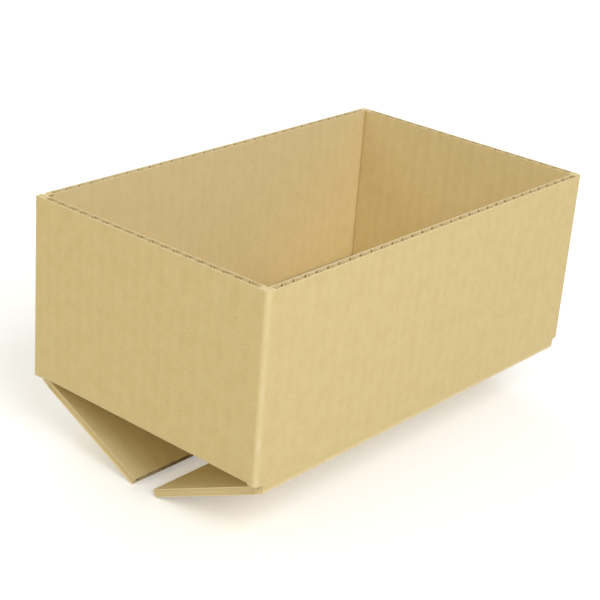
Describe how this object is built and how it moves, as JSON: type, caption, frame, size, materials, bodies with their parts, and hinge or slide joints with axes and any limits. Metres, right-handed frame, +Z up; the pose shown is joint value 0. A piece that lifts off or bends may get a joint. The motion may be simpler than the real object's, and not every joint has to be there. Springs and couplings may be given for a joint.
{
  "type": "half slotted container",
  "caption": "Open-topped corrugated board carton standing on partly open outer bottom flaps that hinge on its long walls, with its inner flaps folded in.",
  "frame": {"origin": "on the ground under the middle of the box, which stands on the free edges of its outer flaps", "axes": "+X along the length, +Y to the rear wall, +Z up through the open top"},
  "size_m": [0.25, 0.15, 0.131],
  "materials": {
    "kraft_board": "matte pale kraft liner"
  },
  "bodies": {
    "box": {"box_body": "kraft_board"},
    "front_flap": {"front_outer_flap": "kraft_board"},
    "rear_flap": {"rear_outer_flap": "kraft_board"}
  },
  "joints": [
    {"name": "front_flap_crease", "type": "hinge", "parent": "box", "child": "front_flap", "pos_m": [0, -0.0745, 0.03152], "axis": [1, 0, 0], "range_deg": [-200, 25]},
    {"name": "rear_flap_crease", "type": "hinge", "parent": "box", "child": "rear_flap", "pos_m": [0, 0.0745, 0.03152], "axis": [-1, 0, 0], "range_deg": [-200, 25]}
  ]
}
